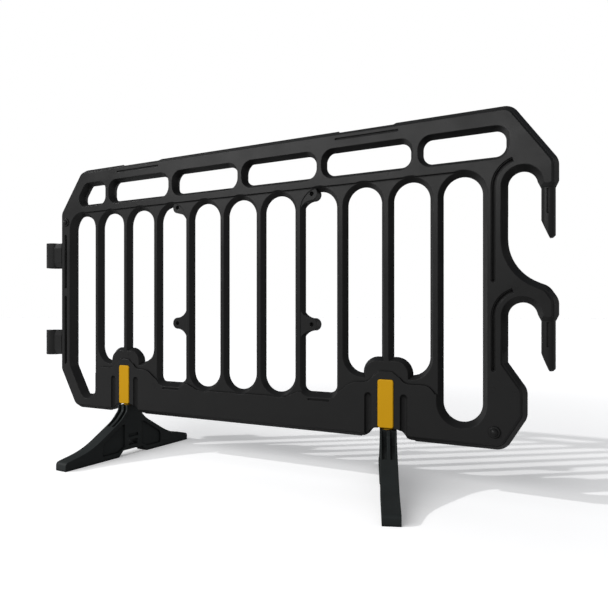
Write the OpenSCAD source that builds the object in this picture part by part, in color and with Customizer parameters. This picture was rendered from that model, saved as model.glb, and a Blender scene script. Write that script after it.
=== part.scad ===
// Pedestrian barrier panel: a moulded barred panel with two linking hooks on one end
// and two link sockets on the other, standing on two feet that swivel on yellow posts.
// Millimetres, +Z up, origin on the ground under the middle of the whole barrier, front towards -Y.

/* [Panel] */
// Height of the barrier above the ground
overall_h = 1107; // [1000:1:1200]
// Gap between the ground and the underside of the panel
ground_gap = 158; // [150:1:175]
// Thickness of the rails and stiles, front to back
rail_t = 46; // [40:1:54]
// How far the bars lie below the face of the rails
bar_recess = 5; // [2:0.5:8]
// Distance from the top of the panel down to the tops of the slots
top_rail_h = 185; // [170:1:200]
// Distance from the underside of the panel up to the middle slots
plate_h = 119; // [100:1:130]
// Width of the left stile at the parting line
left_stile_w = 77; // [65:1:90]
// Width of the right stile at the parting line
right_stile_w = 68; // [60:1:80]

/* [Slots] */
// Distance between neighbouring bars
bar_pitch = 149; // [140:1:160]
// Clear width of a slot at the parting line
slot_w = 110; // [100:1:118]
// Slope of the slot walls away from the parting line, in degrees
slot_draft = 36; // [25:1:38]
// Clear height of the hand-holds at the parting line
hand_h = 70; // [60:1:80]
// Distance from the top of the panel down to the middle of the hand-holds
hand_drop = 103; // [95:1:110]
// Width of the webs between the hand-holds at the parting line
hand_web = 38; // [32:1:50]
// Slope of the hand-hold walls away from the parting line, in degrees
hand_draft = 27; // [15:1:32]

/* [Corners] */
// Width of the bevel between a panel face and the parting line
rim_w = 17; // [13:1:20]
// Depth of the step at the face side of that bevel
rim_step = 5; // [3:0.5:7]
// Rounding of the panel corners at the parting line
corner_r = 45; // [35:1:55]
// How far the top left corner is cut back along the top
top_left_cut = 118; // [100:1:140]
// Slope of the cut top corners above level, in degrees
top_cut_slope = 54; // [48:0.5:57]
// How far the bottom left corner is cut back along the bottom
bottom_left_cut = 86; // [70:1:95]
// Slope of the cut bottom corners above level, in degrees
bottom_cut_slope = 60; // [56:0.5:64]

/* [Links] */
// Distance from the top of the panel down to the underside of the upper hook's collar
hook_drop = 236; // [215:1:255]
// Height between the two hooks, and between the two sockets
link_pitch = 355; // [330:1:370]
// Distance from the right stile to the axis of the hook pegs
hook_reach = 102.5; // [98:0.5:120]
// Diameter of the hook pegs
peg_d = 36; // [28:1:38]
// Length of a peg below its collar
peg_l = 134; // [120:1:145]
// Width of the collar above a peg
collar_w = 53; // [46:1:60]
// Play between a peg and the bore of a socket, on the radius
link_play = 2; // [1:0.5:3]
// Wall of a link socket
socket_wall = 12; // [9:1:16]
// Height of a link socket
socket_h = 100; // [80:1:110]
// Distance from the left stile to the axis of the sockets
socket_reach = 52; // [48:1:65]

/* [Sign lugs] */
// Distance across the barrier between the lug holes
lug_span = 542; // [530:1:556]
// Height between the lower and the upper lug holes
lug_rise = 417; // [380:1:440]
// Diameter of a lug hole
lug_hole_d = 14; // [10:1:18]
// Radius of a lug round its hole
lug_r = 20; // [16:1:22]

/* [Feet] */
// Length of a foot on the ground
foot_l = 604; // [560:2:640]
// Width of a foot
foot_w = 50; // [46:1:56]
// Height of a foot's stem
foot_h = 187; // [180:1:189]
// How far the left foot is turned from square to the panel, in degrees
left_turn = -3; // [-90:1:90]
// How far the right foot is turned from square to the panel, in degrees
right_turn = 21; // [-90:1:90]
// Width of the yellow post's block
post_w = 50; // [44:1:54]
// Height of the yellow post's block
post_h = 145; // [130:1:150]
// How far the block stands proud of the panel faces
post_proud = 3; // [1:0.5:5]
// Diameter of the post's spigot, on which the foot turns
spigot_d = 35; // [30:1:36]

/* [Clearances] */
// Running clearance of a spigot in its foot, on the radius
run_gap = 0.05; // [0.02:0.01:0.1]
// Clearance between pieces that are pushed together or pass each other
seat_gap = 0.3; // [0.2:0.05:0.5]

/* [Hidden] */
$fn = 64;
BLACK = "#232426";
YELLOW = "#dca018";

// Heights and edges of the panel
rail_d = rail_t / 2;
bar_d = rail_d - bar_recess;
through = rail_d + 2;
outer_slot = 5;
slot_r = slot_w / 2;
left_x = -(outer_slot * bar_pitch + slot_r + left_stile_w);
right_x = outer_slot * bar_pitch + slot_r + right_stile_w;
slot_top = overall_h - top_rail_h;
slot_bottom = ground_gap + plate_h;
hand_z = overall_h - hand_drop;
slot_grow = tan(slot_draft);
hand_grow = tan(hand_draft);
bar_edge = slot_grow * bar_d;
rail_low = slot_top + bar_edge;
overlap = 70;

// Straight edges reach into the plate behind them, and lie a hair below the round corners
root = 2;
hair = 0.05;
slack = 0.998;

// Softened outline corners: the share of a side that they take, and the steps they are drawn in
soft_share = 0.48;
soft_step = 0.2;

// Slots beside the lug bars have flat bottoms, and those beside the foot bars stop higher
lug_slot = 2;
foot_bar = 3.5;
foot_x = foot_bar * bar_pitch;
flat_rise = 9;
foot_slot_rise = 76;
end_slot_drop = 49;
left_slot_drop = 61;
flat_r = 22;
flat_lip = 2;

// Hand-hold webs, and the round ends of the hand-holds
web_near = 300;
web_far = 612;
hand_r = 28;
small_hand_r = 22;
hand_end_in = 5;
hand_corner_wall = 86;

// Hooks
peg_r = peg_d / 2;
hook_z = overall_h - hook_drop;
hook_x = right_x + hook_reach;
hook_edge = hook_x + collar_w / 2;
gap_r = (hook_reach - collar_w / 2) / 2;
gap_x = right_x + gap_r;
gap_rise = 49;
hook_zs = [hook_z, hook_z - link_pitch];
upper_head_rise = 73;
lower_head_rise = 83;
arm_fall = 22;
arm_cut = [24, 26];
sweep_r = 130;
flare_w = 50.5;
flare_rise = 95;
flare_step = 77;
flare_top = 243.5;
flare_cut = 58;
collar_cut = 18;
collar_lip = 0.8;
tip_cut = 86;
tip_slope = 24;
tip_r = 6;
peg_root = 8;
peg_groove = [4, 70];
peg_groove_r = 3;
peg_groove_out = 0.5;

// Sockets and their tongues
socket_drop = 99;
tongue_in = 25;
tongue_t = 16;
tongue_root = 6;
neck_t = 44;
neck_top_t = 36;
neck_rise = [28, 48];
neck_in = 14;
rim_ledge = [4, 6];

// Sign lugs
lug_drop = 5;
lug_flare = 44;
lug_top = 120;
lug_thin = 2;

// Arch boss, raised plate and underside notch at each foot
boss_w = 158;
boss_top = 247;
boss_r = 50;
boss_foot = 120;
boss_bevel = 12;
bump_w = [67, 109];
bump_rise = [169, 204];
shoulder_out = 129;
shoulder_ramp = [18, 20];
shoulder_rise = 20;
end_fall = 24;
outline_soft = 24;
notch_rise = 34;
notch_top = ground_gap + notch_rise;
notch_w = [88, 140, 170];
notch_step = 4;
notch_soft = 14;
open_below = 30;
post_chip = 0.5;
flute_x = 56;
flute_r = 12;
flute_out = 2;
flute_rise = 139;
flute_top = ground_gap + flute_rise;

// Yellow post
post_bottom = notch_top + 1;
post_top = post_bottom + post_h;
post_r = 8;
post_chamfer = 2;
key_w = 12;
key_d = 6;
key_top = 300;
nose_r = 3;
nose_z = 225;
spigot_r = spigot_d / 2;
spigot_end = 58;
groove_r = 12.5;
clip_z = 68;
clip_t = 11.4;
clip_w = 47.4;
clip_in = 4;

// Foot outline from the side
toe_x = foot_l / 2;
toe_h = 28;
knee_h = 49;
knee_back = 105;
knee_soft = 70;
slope_soft = 30;
slope_x = 62;
slope_z = 131;
stem_x = 30;
stem_z = 163;
sole_w = [140, 96];
sole_h = 22;
toe_r = 12;
side_pocket_d = 6;
pocket_x = [41, 72];
pocket_z = [18, 33];
pocket_end = [51, 16];
pocket_cut = 5;
pocket_top = [8, 12];
stem_wall = 8;
stem_fall = [3, 20];
stem_toe = 4;
slope_web = 16;
rib_w = 10;
flange_w = 6;
window_w = clip_w + 2 * seat_gap;
low_window = [45, 36, 57];

// Stacking studs
stud_r = 17.5;
stud_h = 4;
stud_edge = 3;
stud_cap_r = 10;
stud_cap_h = 12;
stud_dome_r = 12;
shank_r = 6;
shank_l = 14;
stud_in = [40, 33];
stud_x = [left_x + stud_in[0], right_x - stud_in[1]];
stud_drop = 205;
stud_rise = 52;
stud_z = [overall_h - stud_drop, ground_gap + stud_rise];

// Grooves in the faces
groove_cuts = [[13, 3], [6, 7]];
left_groove_in = 39;
left_groove_drops = [[534, 271], [231, 25]];
right_groove_in = 36;
hook_groove_drops = [244, 134];
bend_end = 18;
line_w = 6;
line_d = 3;
line_x = 458;
line_half = 100;
line_drop = 30;
plate_line_half = 35;
plate_line_drop = 15;

// Shallow steps in the top edge
step_x = 453;
step_half = 90;
step_d = 7.5;
step_slant = 7;

// Middle of the whole barrier, measured from the middle of the bars
mid_x = (left_x - socket_reach - peg_r - link_play - socket_wall + hook_edge) / 2;

function unit(v) = v / norm(v);

// Corner centres of a rounded outline, from its sharp corners in anticlockwise order
function inset(pts, r) = let (n = len(pts)) [
    for (i = [0:n - 1]) let (
        a = unit(pts[i] - pts[(i + n - 1) % n]),
        b = unit(pts[(i + 1) % n] - pts[i]),
        na = [-a[1], a[0]],
        nb = [-b[1], b[0]]
    ) pts[i] + r * (na + nb) / (1 + na * nb)
];

// Edge sections, as [distance from a corner centre, distance from the parting line]
function rim_section(r) = let (in = r - rim_w, low = rail_d - rim_step) [
    [0, -rail_d], [in, -rail_d], [in + rim_ledge[0], -low], [in + rim_ledge[1], -low], [r, 0],
    [in + rim_ledge[1], low], [in + rim_ledge[0], low], [in, rail_d], [0, rail_d]
];
function taper_section(r, grow, d) = [[0, -d], [r + grow * d, -d], [r, 0], [r + grow * d, d], [0, d]];
function chamfer_section(r, c, d) = [[0, -d], [r - c, -d], [r, c - d], [r, d - c], [r - c, d], [0, d]];

// A closed outline from its right half, given as [x, z, rounding], with the corners rounded off
function mirrored(half) = concat(half,
    [for (i = [len(half) - 1:-1:0]) [-half[i][0], half[i][1], half[i][2]]]);
function flat(p) = [p[0], p[1]];
function soften(pts) = let (n = len(pts)) [
    for (i = [0:n - 1]) let (
        here = flat(pts[i]),
        back = flat(pts[(i + n - 1) % n]) - here,
        on = flat(pts[(i + 1) % n]) - here,
        reach = min(pts[i][2], soft_share * norm(back), soft_share * norm(on))
    ) for (s = reach > 0 ? [0:soft_step:1] : [0])
        here + reach * ((1 - s) * (1 - s) * unit(back) + s * s * unit(on))
];

// A rounded outline with the given section all the way round its edge; inner corners are mitred
module edged(centres, section) {
    n = len(centres);
    d = section[len(section) - 1][1];
    if (n > 2)
        translate([0, 0, -d]) linear_extrude(2 * d) polygon(centres);
    for (i = [0:n - 1]) {
        here = centres[i];
        ahead = centres[(i + 1) % n] - here;
        behind = here - centres[(i + n - 1) % n];
        way = atan2(ahead[1], ahead[0]);
        was = atan2(behind[1], behind[0]);
        deep = abs(sin(2 * way)) < 0.001 ? 1 : slack;
        straight = [for (p = section) [p[0] == 0 ? -root : slack * p[0] - hair, deep * p[1]]];
        translate(here) rotate(way) translate([norm(ahead), 0, 0])
            rotate([90, 0, -90]) linear_extrude(norm(ahead)) polygon(straight);
        if ((way - was + 720) % 360 < 181)
            translate(here) rotate_extrude() polygon(section);
    }
}

// The same cut on the front face and on the back face, d deep below a face at face_d
module both_faces(face_d, d) {
    translate([0, 0, face_d - d]) linear_extrude(d + 1) children();
    translate([0, 0, -face_d - 1]) linear_extrude(d + 1) children();
}

// Stands the panel up: its plan becomes the front view
module upright() { rotate([90, 0, 0]) children(); }

// Puts the middle of the whole barrier at the origin
module placed() { translate([-mid_x, 0, 0]) children(); }

module slot(x, bottom) {
    edged([[x, bottom + slot_r], [x, slot_top - slot_r]], taper_section(slot_r, slot_grow, through));
}

module flat_slot(x) {
    section = taper_section(flat_r, slot_grow, through);
    low = slot_bottom + flat_rise;
    edged(inset([[x - slot_r, low], [x + slot_r, low], [x + slot_r, slot_top - slot_r],
        [x - slot_r, slot_top - slot_r]], flat_r), section);
    slot(x, slot_top - 3 * slot_r);
}

// The leftmost slot follows the cut corner of the panel
module left_slot() {
    x = -outer_slot * bar_pitch;
    low = slot_bottom - left_slot_drop;
    cut = slot_w - 2 * flat_r;
    high = slot_top - slot_w;
    section = taper_section(flat_r, slot_grow, through);
    edged(inset([[x - slot_r + cut, low], [x + slot_r, low], [x + slot_r, high], [x - slot_r, high],
        [x - slot_r, low + cut * tan(bottom_cut_slope)]], flat_r), section);
    slot(x, slot_top - 5 * slot_r);
}

module slots() {
    for (i = [-1:1]) slot(i * bar_pitch, slot_bottom);
    for (side = [-1, 1]) {
        flat_slot(side * lug_slot * bar_pitch);
        for (i = [3, 4]) slot(side * i * bar_pitch, slot_bottom + foot_slot_rise);
    }
    slot(outer_slot * bar_pitch, slot_bottom - end_slot_drop);
    left_slot();
}

module hand_hold(x0, x1) {
    edged(inset([[x0, hand_z - hand_h / 2], [x1, hand_z - hand_h / 2], [x1, hand_z + hand_h / 2],
        [x0, hand_z + hand_h / 2]], hand_r), taper_section(hand_r, hand_grow, through));
}

module hand_holds() {
    half = hand_web / 2;
    hand_hold(-web_far + half, -web_near - half);
    hand_hold(-web_near + half, -half);
    hand_hold(half, web_near - half);
    hand_hold(web_near + half, web_far - half);
    hand_hold(web_far + half, right_x - hand_end_in);
    lean = hand_h / tan(top_cut_slope);
    low = hand_z - hand_h / 2;
    foot = left_x + top_left_cut - (overall_h - low) / tan(top_cut_slope) + hand_corner_wall;
    edged(inset([[foot, low], [-web_far - half, low], [-web_far - half, low + hand_h],
        [foot + lean, low + hand_h]], small_hand_r), taper_section(small_hand_r, hand_grow, through));
}

// Centre of the sweep between the stile and the top of the lower hook's arm
function sweep_centre() = let (arm_z = hook_zs[1] + lower_head_rise, x = right_x + sweep_r)
    [x, arm_z + (hook_edge - x + sweep_r * sin(arm_fall)) * tan(arm_fall) + sweep_r * cos(arm_fall)];

// A plain block through the panel, from one corner of its front view to the other
module block(low, high) {
    translate([low[0], low[1], -through]) cube([high[0] - low[0], high[1] - low[1], 2 * through]);
}

// Frame without its openings: the outline with both hook heads, and the fill under the sweep
module body() {
    left_rise = bottom_left_cut * tan(bottom_cut_slope);
    top_fall = top_left_cut * tan(top_cut_slope);
    flare_x = right_x + flare_w;
    flare_z = ground_gap + flare_rise;
    head_z = hook_z + upper_head_rise;
    arm_z = hook_zs[1] + lower_head_rise;
    edged(inset([
        [left_x, ground_gap + left_rise],
        [left_x + bottom_left_cut, ground_gap],
        [flare_x - flare_cut, ground_gap],
        [flare_x, flare_z],
        [flare_x, flare_z + flare_step],
        [right_x, ground_gap + flare_top],
        [right_x, hook_zs[1] - overlap],
        [hook_edge, hook_zs[1] - overlap],
        [hook_edge, arm_z - arm_cut[1]],
        [hook_edge - arm_cut[0], arm_z + arm_cut[0] * tan(arm_fall)],
        [right_x, arm_z + (hook_edge - right_x) * tan(arm_fall)],
        [right_x, hook_z - overlap],
        [hook_edge, hook_z - overlap],
        [hook_edge, head_z],
        [hook_edge - (overall_h - head_z) / tan(top_cut_slope), overall_h],
        [left_x + top_left_cut, overall_h],
        [left_x, overall_h - top_fall]
    ], corner_r), rim_section(corner_r));
    translate([right_x - corner_r, arm_z, -rail_d]) linear_extrude(rail_t)
        square([corner_r + sweep_r * (1 - sin(arm_fall)), sweep_centre()[1] - arm_z]);
}

// Room for the pegs: a round-topped gap beside each collar, everything under the collars,
// a cone that narrows each collar down to its peg, and the sweep over the lower arm
module hook_gaps() {
    centre = sweep_centre();
    wall = taper_section(gap_r, slot_grow, through);
    lows = [centre[1], ground_gap + flare_top + gap_r];
    low_r = peg_r + collar_lip;
    grow = (collar_w / 2 - peg_r) / collar_cut;
    for (i = [0, 1]) {
        edged([[gap_x, lows[i]], [gap_x, hook_zs[i] + gap_rise - gap_r]], wall);
        block([gap_x, lows[i] - gap_r], [hook_edge + 1, hook_zs[i]]);
        translate([hook_x, hook_zs[i], 0]) rotate([-90, 0, 0]) rotate_extrude()
            polygon([[low_r - grow, -1], [collar_w, -1], [collar_w, collar_cut],
                [low_r + grow * collar_cut, collar_cut]]);
    }
    intersection() {
        translate(centre) rotate_extrude() polygon(taper_section(sweep_r, slot_grow, through));
        translate([right_x - sweep_r, centre[1] - 2 * sweep_r, -rail_t])
            cube([4 * sweep_r, 2 * sweep_r + (hook_z - centre[1]) / 2, 2 * rail_t]);
    }
}

// A hook peg, standing up: a round pin with its inner side cut away to a blunt tip
module peg(z) {
    translate([hook_x, 0, z - peg_l]) difference() {
        union() {
            translate([0, 0, tip_r]) cylinder(r = peg_r, h = peg_l + peg_root - tip_r);
            cylinder(r1 = peg_r - tip_r, r2 = peg_r, h = tip_r);
        }
        translate([-peg_r, 0, peg_l - tip_cut]) rotate([0, -tip_slope, 0])
            translate([-peg_d, -peg_d, -peg_l]) cube([peg_d, 2 * peg_d, peg_l]);
        for (side = [-1, 1])
            translate([0, side * (peg_r + peg_groove_out), peg_l - peg_groove[1]])
                cylinder(r = peg_groove_r, h = peg_groove[1] - peg_groove[0]);
    }
}

// Face recess over the bars: from the underside of the top rail down to the outline of the bottom plate
module bar_field() {
    shoulder = ground_gap + bump_rise[0];
    flat_z = slot_bottom + flat_rise - flat_lip;
    end_x = outer_slot * bar_pitch;
    polygon(soften(mirrored([
        [(lug_slot - 0.8) * bar_pitch, slot_bottom - bar_edge, 0],
        [(lug_slot - 0.5) * bar_pitch, flat_z, 0],
        [lug_slot * bar_pitch + slot_r, flat_z, outline_soft],
        [foot_x - shoulder_out - shoulder_ramp[0], slot_bottom + shoulder_rise, outline_soft],
        [foot_x - shoulder_out + shoulder_ramp[1], shoulder, outline_soft],
        [foot_x - bump_w[1] / 2, shoulder, outline_soft],
        [foot_x - bump_w[0] / 2, ground_gap + bump_rise[1], outline_soft],
        [foot_x + bump_w[0] / 2, ground_gap + bump_rise[1], outline_soft],
        [foot_x + bump_w[1] / 2, shoulder, outline_soft],
        [foot_x + shoulder_out, shoulder, outline_soft],
        [foot_x + bar_pitch, shoulder - end_fall, 0],
        [end_x, shoulder - end_fall, 0],
        [end_x, rail_low, 0]
    ])));
}

// Arch-shaped boss at the foot of a foot bar
module arch_boss(x) {
    top = ground_gap + boss_top;
    in = boss_r - boss_bevel;
    section = [[0, -bar_d], [in, -bar_d], [boss_r, 0], [in, bar_d], [0, bar_d]];
    edged(inset([[x - boss_w / 2, top - boss_foot], [x + boss_w / 2, top - boss_foot],
        [x + boss_w / 2, top], [x - boss_w / 2, top]], boss_r), section);
}

// Sign lug, pointing outwards from its bar, with a flared root
module lug_plan(side) {
    x = side * lug_span / 2;
    bar_x = side * (lug_slot - 0.5) * bar_pitch;
    half = lug_r + lug_flare;
    translate([x, 0]) circle(r = lug_r);
    difference() {
        translate([min(x, bar_x), -half]) square([abs(x - bar_x), 2 * half]);
        for (up = [-1, 1]) translate([x, up * half]) circle(r = lug_flare);
    }
}

module lugs() {
    for (side = [-1, 1])
        for (z = lug_z())
            translate([0, z, lug_thin - bar_d]) linear_extrude(2 * (bar_d - lug_thin))
                intersection() {
                    lug_plan(side);
                    translate([-lug_span, -lug_top])
                        square([2 * lug_span, lug_top + min(lug_top, rail_low - z)]);
                }
}
function lug_z() = [slot_top - lug_drop - lug_rise, slot_top - lug_drop];

// Window for a yellow post, with key ways for its ribs, and the notch that clears the turning foot
module post_seat(x) {
    r = post_r + seat_gap;
    w = post_w / 2 + seat_gap;
    low = post_bottom - open_below;
    edged(inset([[x - w, low], [x + w, low], [x + w, post_top + seat_gap], [x - w, post_top + seat_gap]], r),
        chamfer_section(r, post_chip, through));
    for (side = [-1, 1]) {
        translate([x + side * w - key_d, low, -key_w / 2 - seat_gap])
            cube([2 * key_d, key_top + seat_gap - low, key_w + 2 * seat_gap]);
        translate([x + side * (post_w / 2 + key_d), nose_z, -key_w / 2 - seat_gap])
            cylinder(r = nose_r + seat_gap, h = key_w + 2 * seat_gap);
    }
    step_z = ground_gap + notch_step;
    translate([x, 0, -through]) linear_extrude(2 * through) polygon(soften(mirrored([
        [notch_w[2] / 2, ground_gap - open_below, 0], [notch_w[2] / 2, step_z, 0],
        [notch_w[1] / 2, step_z, notch_soft], [notch_w[0] / 2, notch_top, notch_soft]])));
}

// Long moulded flutes either side of a post, open at the bottom
module flutes(x) {
    l = flute_top - ground_gap;
    dome = [for (a = [0:15:75]) flute_r * [cos(a), sin(a)]];
    for (side = [-1, 1], face = [-1, 1])
        translate([x + side * flute_x, flute_top - flute_r, face * (rail_d + flute_out)]) rotate([-90, 0, 0])
            rotate_extrude() polygon(concat([[0, -l], [flute_r, -l]], dome, [[0, flute_r]]));
}

module strip(x0, x1, z, w) {
    translate([x0, z - w / 2]) square([x1 - x0, w]);
    for (x = [x0, x1]) translate([x, z]) circle(d = w);
}

module post_strip(x, z0, z1, w) {
    translate([x - w / 2, z0]) square([w, z1 - z0]);
    for (z = [z0, z1]) translate([x, z]) circle(d = w);
}

// Grooves in the faces, each wide and shallow with a narrow bottom: stile grooves, those that
// follow the hook gaps, and the fine lines
module grooves() {
    x = right_x - right_groove_in;
    bend_r = gap_x - x;
    for (cut = groove_cuts) both_faces(rail_d, cut[1]) {
        for (drops = left_groove_drops)
            post_strip(left_x + left_groove_in, hook_z - drops[0], hook_z - drops[1], cut[0]);
        for (i = [0, 1]) {
            top = hook_zs[i] + gap_rise - gap_r;
            post_strip(x, hook_zs[i] - hook_groove_drops[i], top, cut[0]);
            translate([gap_x, top]) intersection() {
                difference() {
                    circle(r = bend_r + cut[0] / 2);
                    circle(r = bend_r - cut[0] / 2);
                }
                polygon(2 * bend_r * [[0, 0], [-tan(bend_end), 1], [-1, 1], [-1, 0]]);
            }
        }
    }
    both_faces(rail_d, line_d)
        for (side = [-1, 1]) {
            slot_x = side * lug_slot * bar_pitch;
            strip(side * line_x - line_half, side * line_x + line_half, overall_h - line_drop, line_w);
            strip(slot_x - plate_line_half, slot_x + plate_line_half, slot_bottom - plate_line_drop, line_w);
        }
}

// Shallow steps in the top edge
module top_steps() {
    for (side = [-1, 1])
        translate([side * step_x, overall_h, -through]) linear_extrude(2 * through)
            polygon([[-step_half, -step_d], [step_half, -step_d], [step_half + step_slant, step_d],
                [-step_half - step_slant, step_d]]);
}

// Pocket in the stile edge for the tongue of a link socket
module tongue_pocket(z) {
    h = 2 * socket_h / 3 + 2 * seat_gap;
    t = tongue_t + 2 * seat_gap;
    translate([left_x - 1, z - h / 2, -t / 2]) cube([1 + tongue_in + seat_gap, h, t]);
}

function socket_z() = [for (z = hook_zs) z - socket_drop];

module panel() {
    color(BLACK) placed() {
        upright() difference() {
            union() {
                difference() {
                    body();
                    slots();
                    hand_holds();
                    hook_gaps();
                    both_faces(rail_d, bar_recess) bar_field();
                }
                for (side = [-1, 1]) arch_boss(side * foot_x);
                lugs();
            }
            for (side = [-1, 1]) {
                post_seat(side * foot_x);
                flutes(side * foot_x);
                for (z = lug_z())
                    translate([side * lug_span / 2, z, -through]) cylinder(d = lug_hole_d, h = 2 * through);
            }
            for (z = socket_z()) tongue_pocket(z);
            for (i = [0, 1])
                translate([stud_x[i], stud_z[i], rail_d - shank_l - seat_gap])
                    cylinder(r = shank_r + seat_gap, h = 2 * shank_l);
            grooves();
            top_steps();
        }
        for (z = hook_zs) peg(z);
    }
}

// Link socket: an upright sleeve on a bevelled neck, with a tongue that is welded into the stile
module link_socket(z) {
    bore_r = peg_r + link_play;
    x = left_x - socket_reach;
    third = socket_h / 3;
    half = neck_t / 2;
    top = neck_top_t / 2;
    lean = (rim_w - rim_ledge[1]) / (rail_d - rim_step);
    color(BLACK) placed() translate([0, 0, z]) difference() {
        union() {
            translate([x, 0, -socket_h / 2]) cylinder(r = bore_r + socket_wall, h = socket_h);
            difference() {
                translate([x, 0, 0]) rotate([90, 0, 90]) linear_extrude(socket_reach + neck_in)
                    polygon([[-half, -neck_rise[0]], [-top, -neck_rise[1]], [top, -neck_rise[1]],
                        [half, -neck_rise[0]], [half, neck_rise[0]], [top, neck_rise[1]],
                        [-top, neck_rise[1]], [-half, neck_rise[0]]]);
                translate([left_x - seat_gap, 0, -socket_h]) linear_extrude(2 * socket_h)
                    polygon(neck_t * [[0, 0], [lean, -1], [2, -1], [2, 1], [lean, 1]]);
            }
            translate([left_x - tongue_root, -tongue_t / 2, -third])
                cube([tongue_root + tongue_in, tongue_t, 2 * third]);
        }
        translate([x, 0, -socket_h]) cylinder(r = bore_r, h = 2 * socket_h);
    }
}
module upper_link_socket() { link_socket(socket_z()[0]); }
module lower_link_socket() { link_socket(socket_z()[1]); }

// Yellow post: a block keyed into the panel, with a grooved spigot below it
module foot_post(x) {
    d = rail_d + post_proud;
    color(YELLOW) placed() {
        upright() {
            edged(inset([[x - post_w / 2, post_bottom], [x + post_w / 2, post_bottom],
                [x + post_w / 2, post_top], [x - post_w / 2, post_top]], post_r),
                chamfer_section(post_r, post_chamfer, d));
            for (side = [-1, 1]) {
                translate([x + side * post_w / 2 - key_d, post_bottom + post_r, -key_w / 2])
                    cube([2 * key_d, key_top - post_bottom - post_r, key_w]);
                translate([x + side * (post_w / 2 + key_d), nose_z, -key_w / 2])
                    cylinder(r = nose_r, h = key_w);
            }
        }
        difference() {
            translate([x, 0, spigot_end]) cylinder(r = spigot_r, h = post_bottom + 1 - spigot_end);
            translate([x, 0, clip_z - seat_gap]) difference() {
                cylinder(r = spigot_d, h = clip_t + 2 * seat_gap);
                cylinder(r = groove_r, h = clip_t + 2 * seat_gap);
            }
        }
    }
}
module left_foot_post() { foot_post(-foot_x); }
module right_foot_post() { foot_post(foot_x); }

// Draws a shape given along a foot and upwards, across the foot's width
module across(w) { rotate([90, 0, 90]) linear_extrude(w, center = true) children(); }

// Foot outline from the side, with the hollow under its middle
module foot_side() {
    knee_x = toe_x - knee_back;
    polygon(soften(mirrored([
        [sole_w[1] / 2, sole_h, 0], [sole_w[0] / 2, 0, 0], [toe_x, 0, 0], [toe_x, toe_h, toe_r],
        [knee_x, knee_h, knee_soft], [slope_x, slope_z, slope_soft],
        [stem_x + stem_toe, stem_z, 0], [stem_x, stem_z + 2 * stem_toe, 0], [stem_x, foot_h, 0]])));
}

// Recess in one side of a foot, under its slope
module side_pocket() {
    end = toe_x - knee_back - pocket_end[0];
    top = slope_z - pocket_top[1];
    polygon([[pocket_x[0], pocket_z[1]], [pocket_x[1], pocket_z[0]], [end - pocket_cut, pocket_z[0]],
        [end, pocket_z[0] + pocket_cut], [end, knee_h + pocket_cut],
        [end - pocket_cut, knee_h + pocket_end[1]], [slope_x - pocket_top[0], top], [pocket_x[0], top]]);
}

// Hollow in the end of the stem, either side of its middle rib
module stem_pocket() {
    in = stem_x - stem_wall;
    web_z = slope_z - slope_web;
    far = slope_x + knee_back;
    polygon([[in, foot_h + 1], [in, stem_z - stem_fall[0]], [stem_x + stem_toe, stem_z - stem_fall[1]],
        [slope_x + slope_web, web_z], [far, web_z], [far, foot_h + 1]]);
}

module foot(x, turn) {
    color(BLACK) placed() translate([x, 0, 0]) rotate(turn) difference() {
        across(foot_w) foot_side();
        for (end = [0, 1]) mirror([0, end, 0]) {
            for (side = [-1, 1]) {
                translate([side * foot_w / 2, 0, 0]) across(2 * side_pocket_d) side_pocket();
                translate([side * (foot_w / 2 - flange_w + rib_w / 2) / 2, 0, 0])
                    across(foot_w / 2 - flange_w - rib_w / 2) stem_pocket();
            }
        }
        translate([0, 0, low_window[2]]) cylinder(r = spigot_r + run_gap, h = foot_h);
        across(2 * foot_w) translate([-window_w / 2, clip_z]) square([window_w, clip_t + seat_gap]);
        across(2 * foot_w) translate([-low_window[0] / 2, low_window[1]])
            square([low_window[0], low_window[2] - low_window[1]]);
    }
}
module left_foot() { foot(-foot_x, left_turn); }
module right_foot() { foot(foot_x, right_turn); }

// Forked clip: slides through a foot's upper window into the groove of its spigot
module foot_clip(x, turn) {
    slot = groove_r + seat_gap;
    color(BLACK) placed() translate([x, 0, clip_z]) rotate(turn) linear_extrude(clip_t) difference() {
        translate([-foot_w / 2 + clip_in, -clip_w / 2]) square([foot_w - 2 * clip_in, clip_w]);
        circle(r = slot);
        translate([-foot_w, -slot]) square([foot_w, 2 * slot]);
    }
}
module left_foot_clip() { foot_clip(-foot_x, left_turn); }
module right_foot_clip() { foot_clip(foot_x, right_turn); }

// Stacking stud: a domed button on a round flange, pushed into the front face
module stud(i) {
    color(BLACK) placed() translate([stud_x[i], -rail_d, stud_z[i]]) rotate([90, 0, 0]) {
        cylinder(r1 = stud_r, r2 = stud_r - stud_edge, h = stud_h);
        intersection() {
            cylinder(r = stud_cap_r, h = stud_cap_h + 1);
            translate([0, 0, stud_cap_h - stud_dome_r]) sphere(r = stud_dome_r);
        }
        translate([0, 0, -shank_l]) cylinder(r = shank_r, h = shank_l + 1);
    }
}
module upper_left_stud() { stud(0); }
module lower_right_stud() { stud(1); }

panel();
upper_link_socket();
lower_link_socket();
left_foot_post();
right_foot_post();
left_foot();
right_foot();
left_foot_clip();
right_foot_clip();
upper_left_stud();
lower_right_stud();
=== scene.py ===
from math import cos, radians, sin

import bmesh
import bpy
from mathutils import Matrix, Vector

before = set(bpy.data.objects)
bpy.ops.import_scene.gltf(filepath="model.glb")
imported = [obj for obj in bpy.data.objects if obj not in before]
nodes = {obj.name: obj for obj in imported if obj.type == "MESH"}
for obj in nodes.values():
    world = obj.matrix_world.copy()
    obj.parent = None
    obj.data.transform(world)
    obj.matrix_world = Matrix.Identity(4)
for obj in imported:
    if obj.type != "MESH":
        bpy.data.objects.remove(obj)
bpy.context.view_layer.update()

# Panel: one big moulding of black polyethylene, with its bars, rails, lugs and hooks.
# It comes out of a mould in two halves with a fine spark-eroded grain and rounded edges.
mm = 0.001


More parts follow.
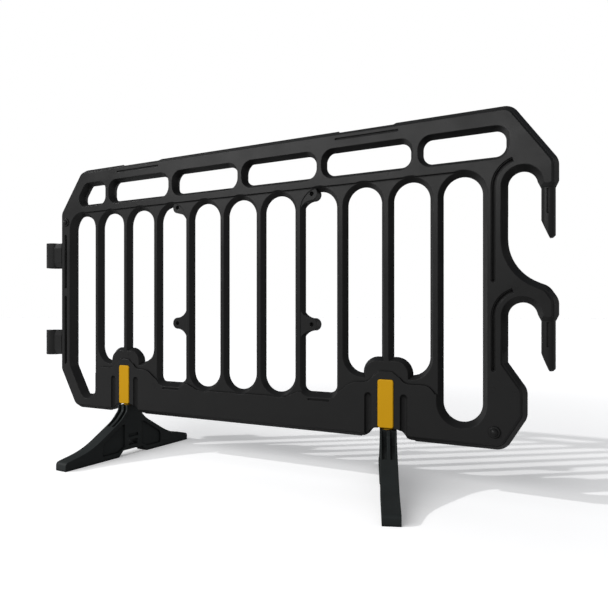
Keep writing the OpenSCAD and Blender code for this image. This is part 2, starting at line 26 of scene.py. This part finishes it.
def linear(code):
    channels = [int(code[i:i + 2], 16) / 255 for i in (1, 3, 5)]
    return [c / 12.92 if c <= 0.04045 else ((c + 0.055) / 1.055) ** 2.4
            for c in channels] + [1.0]


def add(tree, kind, links=None, **settings):
    node = tree.nodes.new(kind)
    for name, value in settings.items():
        if name.startswith("in_"):
            key = name[3:]
            socket = int(key) if key.isdigit() else key.replace("_", " ")
            node.inputs[socket].default_value = value
        else:
            setattr(node, name, value)
    for key, source in (links or {}).items():
        tree.links.new(source, node.inputs[key])
    return node


# Sockets 6 and 7 of a colour Mix are its two colours, and output 2 is its result.
# The last argument sets how dark the painted shade in grooves and inner corners gets; 1 paints
# them black.
def moulded_plastic(name, colour, dusty, roughness, grain, lumps, hollow_shade_depth):
    mat = bpy.data.materials.new(name)
    mat.use_nodes = True
    tree = mat.node_tree
    shader = tree.nodes["Principled BSDF"]
    place = add(tree, "ShaderNodeTexCoord").outputs["Object"]

    # Broad clouds stand for flow marks and the dust of handling.
    clouds = add(tree, "ShaderNodeTexNoise", {"Vector": place},
                 in_Scale=1 / lumps, in_Detail=4.0, in_Roughness=0.6)
    cloud = clouds.outputs["Fac"]
    tint = add(tree, "ShaderNodeMix", {"Factor": cloud}, data_type="RGBA",
               in_6=linear(colour), in_7=linear(dusty))

    # Painted shade: grooves and inner corners are darkened in the colour, and are also made
    # duller.
    groove_reach = 12 * mm
    groove_matt = 0.5
    shut_in, open_face = 0.5, 0.9
    hollow = add(tree, "ShaderNodeAmbientOcclusion", samples=8, in_Distance=groove_reach)
    hollow_shade = add(tree, "ShaderNodeMapRange", {"Value": hollow.outputs["AO"]},
                in_From_Min=shut_in, in_From_Max=open_face, in_To_Min=1 - hollow_shade_depth)
    # The colour is multiplied by the painted shade of the hollows.
    shaded_colour = add(tree, "ShaderNodeMix", {6: tint.outputs[2], 7: hollow_shade.outputs["Result"]},
                  data_type="RGBA", blend_type="MULTIPLY", in_Factor=1.0)
    tree.links.new(shaded_colour.outputs[2], shader.inputs["Base Color"])
    dull = add(tree, "ShaderNodeMapRange", {"Value": hollow_shade.outputs["Result"]},
               in_To_Min=groove_matt, in_To_Max=0.0)

    # The clouds vary the gloss, and the grain hides the shine of a face seen edge on.
    glossiest, dullest = roughness - 0.05, roughness + 0.07
    edge_on_matt = 0.6
    half_turned, edge_on = 0.45, 0.8
    gloss = add(tree, "ShaderNodeMapRange", {"Value": cloud}, in_From_Min=0.3, in_From_Max=0.7,
                in_To_Min=glossiest, in_To_Max=dullest)
    matt = add(tree, "ShaderNodeMath", {0: gloss.outputs["Result"], 1: dull.outputs["Result"]},
               operation="ADD")
    slant = add(tree, "ShaderNodeLayerWeight", in_Blend=0.5)
    veil = add(tree, "ShaderNodeMapRange", {"Value": slant.outputs["Facing"]},
               in_From_Min=half_turned, in_From_Max=edge_on, in_To_Max=edge_on_matt)
    rough = add(tree, "ShaderNodeMath", {0: matt.outputs[0], 1: veil.outputs["Result"]},
                operation="ADD")
    tree.links.new(rough.outputs[0], shader.inputs["Roughness"])

    # Edges are as round as the mould leaves them, with the grain on top.
    edge_round = 2.5 * mm
    grain_depth = 0.15 * mm
    soft = add(tree, "ShaderNodeBevel", samples=6, in_Radius=edge_round)
    fine = add(tree, "ShaderNodeTexNoise", {"Vector": place}, in_Scale=1 / grain, in_Detail=2.0)
    bump = add(tree, "ShaderNodeBump",
               {"Height": fine.outputs["Fac"], "Normal": soft.outputs["Normal"]},
               in_Strength=0.25, in_Distance=grain_depth)
    tree.links.new(bump.outputs["Normal"], shader.inputs["Normal"])

    # Polyethylene and polypropylene bend light by about 1.5.
    # Their mirror shine is turned down to the weak one that the photograph shows.
    shader.inputs["IOR"].default_value = 1.5
    shader.inputs["Specular IOR Level"].default_value = 0.08
    return mat


def finish(name, material):
    piece = nodes[name]
    piece.data.materials.clear()
    piece.data.materials.append(material)


# Moulded polyethylene is a satin black with broad, soft highlights. Its grain of about
# 0.2 mm is too fine to show, so it is drawn coarser, here and on the other pieces.
black = moulded_plastic("black_polyethylene", "#1b1b1b", "#1f1f1f", roughness=0.31,
                        grain=1.2 * mm, lumps=90 * mm, hollow_shade_depth=1.0)
finish("panel", black)

# Link sockets: thick sleeves that take the next barrier's pegs, of the panel's polyethylene.
# Each has a tongue in a pocket of the left stile and is hot-plate welded there.
for name in ("upper_link_socket", "lower_link_socket"):
    finish(name, black)

# Foot posts: blocks of yellow polypropylene, injection moulded in one with a round spigot.
# They are pushed up into keyed windows of the panel and show as yellow bars on its faces.
# Coloured right through, the plastic is an even, warm yellow with little shine.
yellow = moulded_plastic("yellow_polypropylene", "#c49317", "#bc8c12", roughness=0.38,
                         grain=1.2 * mm, lumps=60 * mm, hollow_shade_depth=0.25)
for name in ("left_foot_post", "right_foot_post"):
    finish(name, yellow)

# Feet: heavy mouldings of recycled black plastic, hollow under the slopes.
# They turn on the spigots of the posts.
# The mixed regrind gives a blackish grey with a cool cast, duller than the panel.
regrind = moulded_plastic("recycled_black_plastic", "#1f2222", "#262929", roughness=0.5,
                          grain=1.5 * mm, lumps=50 * mm, hollow_shade_depth=0.5)
for name in ("left_foot", "right_foot"):
    finish(name, regrind)

# Foot clips: small flat forks of the feet's own recycled plastic, moulded by themselves.
# They are slid in through the side windows and grip the grooves of the spigots.
for name in ("left_foot_clip", "right_foot_clip"):
    finish(name, regrind)

# Stacking studs: small round buttons of black polyethylene that keep stacked panels apart.
# Each is pushed by its shank into a hole of the front face.
for name in ("upper_left_stud", "lower_right_stud"):
    finish(name, black)

# Floor: a wide sheet of plain white paper that the barrier stands on.
# It lies loose on the ground of the studio and keeps the barrier's shadow.
floor_half = 60
ground = bpy.data.meshes.new("floor")
shape = bmesh.new()
bmesh.ops.create_grid(shape, x_segments=1, y_segments=1, size=floor_half)
shape.to_mesh(ground)
shape.free()
floor = bpy.data.objects.new("floor", ground)
bpy.context.scene.collection.objects.link(floor)


# Gives 1 where the camera sees the floor or the walls, also in a reflection or through
# glass, and 0 where they only light the barrier.
def seen(tree):
    path = add(tree, "ShaderNodeLightPath")
    shown = path.outputs["Is Camera Ray"]
    for kind in ("Is Glossy Ray", "Is Transmission Ray"):
        either = add(tree, "ShaderNodeMath", {0: shown, 1: path.outputs[kind]},
                     operation="MAXIMUM")
        shown = either.outputs[0]
    return shown


# Uncoated paper is bright and dead matt. The light that it throws back is that of a
# grey sheet, so that the barrier's undersides stay dark.
paper = bpy.data.materials.new("white_paper")
paper.use_nodes = True
tree = paper.node_tree
shader = tree.nodes["Principled BSDF"]
white = seen(tree)
tone = add(tree, "ShaderNodeMix", {"Factor": white}, data_type="RGBA",
           in_6=linear("#707070"), in_7=linear("#fdfdfd"))
tree.links.new(tone.outputs[2], shader.inputs["Base Color"])
shader.inputs["Roughness"].default_value = 1.0
shader.inputs["Specular IOR Level"].default_value = 0.0
shader.inputs["Emission Color"].default_value = (1, 1, 1, 1)

# The sheet whitens away from the barrier, so that no horizon shows.
near, far = 1.0, 3.2
near_glow, far_glow = 0.22, 0.5
spot = add(tree, "ShaderNodeTexCoord").outputs["Object"]
away = add(tree, "ShaderNodeVectorMath", {0: spot}, operation="LENGTH")
glow = add(tree, "ShaderNodeMapRange", {"Value": away.outputs["Value"]},
           in_From_Min=near, in_From_Max=far, in_To_Min=near_glow, in_To_Max=far_glow)
lift = add(tree, "ShaderNodeMath", {0: white, 1: glow.outputs["Result"]}, operation="MULTIPLY")
tree.links.new(lift.outputs[0], shader.inputs["Emission Strength"])
ground.materials.append(paper)

# Studio: white painted walls round the barrier, and a dim ceiling that starts above the picture.
# The light that falls on the barrier is weak from the walls and stronger from overhead.
# The two heights are sines of the angle above level.
wall_top, ceiling_edge = 0.48, 0.56
wall_colour, ceiling_colour = (1, 1, 1, 1), (0.14, 0.16, 0.2, 1)
wall_light, overhead_light = (0.08, 0.08, 0.08, 1), (0.38, 0.385, 0.4, 1)
world = bpy.data.worlds.new("white_studio")
world.use_nodes = True
tree = world.node_tree
back = tree.nodes["Background"]
ray = add(tree, "ShaderNodeSeparateXYZ", {0: add(tree, "ShaderNodeTexCoord").outputs["Generated"]})
height = add(tree, "ShaderNodeMapRange", {"Value": ray.outputs["Z"]})
fill = add(tree, "ShaderNodeMix", {"Factor": height.outputs["Result"]}, data_type="RGBA",
           in_6=wall_light, in_7=overhead_light)
above = add(tree, "ShaderNodeMapRange", {"Value": ray.outputs["Z"]},
            in_From_Min=wall_top, in_From_Max=ceiling_edge)
room = add(tree, "ShaderNodeMix", {"Factor": above.outputs["Result"]}, data_type="RGBA",
           in_6=wall_colour, in_7=ceiling_colour)
look = add(tree, "ShaderNodeMix", {"Factor": seen(tree), 6: fill.outputs[2], 7: room.outputs[2]},
           data_type="RGBA")
tree.links.new(look.outputs[2], back.inputs["Color"])
back.inputs["Strength"].default_value = 1.0
bpy.context.scene.world = world


# Lamps: a small hard lamp far off at the front left, which casts the striped shadow.
# A wide soft box hangs above the front and gives the rails their sheen.
def aimed(place, ahead):
    turned = Vector(ahead).to_track_quat("-Z", "Y").to_matrix().to_4x4()
    return Matrix.Translation(place) @ turned


def lamp(name, kind, place, ahead, energy):
    light = bpy.data.lights.new(name, kind)
    light.energy = energy
    holder = bpy.data.objects.new(name, light)
    holder.matrix_world = aimed(place, ahead)
    holder.visible_camera = False
    bpy.context.scene.collection.objects.link(holder)
    return light


sun = lamp("sun", "SUN", place=(0, 0, 4), ahead=(1.39, 1.02, -1), energy=1.5)
sun.angle = radians(1.2)
soft_box = lamp("soft_box", "AREA", place=(-0.8, -3.0, 1.95), ahead=(0.8, 3.0, -0.95), energy=98)
soft_box.shape = "RECTANGLE"
soft_box.size = 3.8
soft_box.size_y = 0.9

# Camera: a level camera with a 35 mm lens, in front of the hooks' end of the barrier.
# Its place and turn were worked out from the bars' pitch and the upright edges.
eye_place = (1.1005, -1.70, 0.537)
turn = radians(27.45)
lens = bpy.data.cameras.new("photo")
lens.lens = 35
lens.sensor_width = 36
lens.shift_y = 0.0146
eye = bpy.data.objects.new("photo", lens)
eye.matrix_world = aimed(eye_place, (-sin(turn), cos(turn), 0))
bpy.context.scene.collection.objects.link(eye)
bpy.context.scene.camera = eye
bpy.context.scene.view_settings.view_transform = "Standard"
